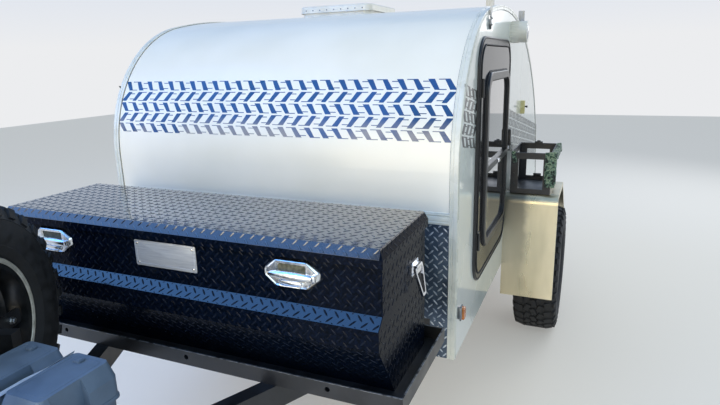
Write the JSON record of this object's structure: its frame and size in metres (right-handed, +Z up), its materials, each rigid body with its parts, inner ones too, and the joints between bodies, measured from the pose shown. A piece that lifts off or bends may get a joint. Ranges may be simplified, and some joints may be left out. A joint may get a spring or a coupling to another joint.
{
  "type": "teardrop camping trailer",
  "caption": "Two-berth teardrop trailer on its jack: rounded cabin, two doors, rear galley hatch, tongue tool box, battery boxes, spare wheel and fender can rack.",
  "frame": {"origin": "on the ground, half way between the coupler's nose and the tail, on the centre line", "axes": "+Y towards the tail, tongue along -Y, +X towards the side with the can rack, +Z up"},
  "size_m": [2.095, 4.144, 1.8553],
  "materials": {
    "black_steel": "satin black enamel",
    "coupler_steel": "black enamel",
    "zinc_steel": "zinc plated",
    "battery_plastic": "moulded, faded",
    "plywood": "varnished",
    "black_plastic": "satin",
    "gloss_black": "gloss black enamel",
    "bare_aluminium": "mill finish",
    "white_skin": "gloss white",
    "edge_aluminium": "white enamel",
    "amber_lens": "clear moulded",
    "red_lens": "clear moulded",
    "chrome": "polished",
    "white_plastic": "moulded",
    "grey_steel": "brushed",
    "webbing": "woven polyester",
    "wheel_steel": "black enamel",
    "hub_iron": "cast",
    "tyre_rubber": "rubber",
    "guard_plate": "tread plate, lacquered dark",
    "black_plate": "gloss black tread plate",
    "tinted_glass": "dark tint"
  },
  "bodies": {
    "root": {"axle": "black_steel", "battery_boxes": "battery_plastic", "battery_lids": "battery_plastic", "box_tray": "black_steel", "bulkhead": "plywood", "can_rack": "black_steel", "chassis_frame": "black_steel", "coupler": "coupler_steel", "door_frame_left": "black_plastic", "door_frame_right": "black_plastic", "fender_left": "bare_aluminium", "fender_right": "bare_aluminium", "floor": "plywood", "front_panel": "white_skin", "front_strip": "edge_aluminium", "galley": "plywood", "hatch_hinge": "edge_aluminium", "jack_tube": "zinc_steel", "marker_lamps": "amber_lens", "paddle_latches": "chrome", "porch_light": "white_plastic", "awning_brackets": "grey_steel", "rack_strap": "webbing", "rear_sill": "edge_aluminium", "rim_spare": "wheel_steel", "roof_shell": "white_skin", "spare_carrier": "black_steel", "stone_guard": "guard_plate", "tail_lamps": "red_lens", "tongue_frame": "black_steel", "tool_box": "black_plate", "end_handles": "zinc_steel", "trim_left": "edge_aluminium", "trim_right": "edge_aluminium", "tyre_spare": "tyre_rubber", "vent_base": "white_plastic", "wall_left": "white_skin", "wall_right": "white_skin"},
    "wheel_left": {"tyre_left": "tyre_rubber", "rim_left": "wheel_steel", "hub_left": "hub_iron"},
    "wheel_right": {"tyre_right": "tyre_rubber", "rim_right": "wheel_steel", "hub_right": "hub_iron"},
    "door_left": {"door_left": "gloss_black", "door_window_left": "black_plastic", "door_glass_left": "tinted_glass", "door_handle_left": "black_plastic"},
    "door_right": {"door_right": "gloss_black", "door_window_right": "black_plastic", "door_glass_right": "tinted_glass", "door_handle_right": "black_plastic"},
    "hatch": {"hatch": "white_skin", "hatch_handle": "chrome"},
    "tool_lid": {"tool_lid": "black_plate"},
    "vent_lid": {"vent_lid": "white_plastic"},
    "jack_leg": {"jack_leg": "zinc_steel"}
  },
  "joints": [
    {"name": "wheel_left_spin", "type": "hinge", "parent": "root", "child": "wheel_left", "pos_m": [0.93, 0.898, 0.366], "axis": [1, 0, 0], "continuous": true},
    {"name": "wheel_right_spin", "type": "hinge", "parent": "root", "child": "wheel_right", "pos_m": [-0.93, 0.898, 0.366], "axis": [1, 0, 0], "continuous": true},
    {"name": "door_left_hinge", "type": "hinge", "parent": "root", "child": "door_left", "pos_m": [0.7778, -0.2745, 1.165], "axis": [0, 0, -1], "range_deg": [0, 100]},
    {"name": "door_right_hinge", "type": "hinge", "parent": "root", "child": "door_right", "pos_m": [-0.7778, -0.2745, 1.165], "axis": [0, 0, 1], "range_deg": [0, 100]},
    {"name": "hatch_hinge", "type": "hinge", "parent": "root", "child": "hatch", "pos_m": [0, 1.098, 1.65214], "axis": [1, 0, 0], "range_deg": [0, 75]},
    {"name": "tool_lid_hinge", "type": "hinge", "parent": "root", "child": "tool_lid", "pos_m": [0, -0.745, 1.061], "axis": [-1, 0, 0], "range_deg": [0, 85]},
    {"name": "vent_hinge", "type": "hinge", "parent": "root", "child": "vent_lid", "pos_m": [-0.12, 0.345, 1.8213], "axis": [1, 0, 0], "range_deg": [0, 60]},
    {"name": "jack_slide", "type": "slide", "parent": "root", "child": "jack_leg", "axis": [0, 0, 1], "range_m": [0, 0.25]}
  ]
}
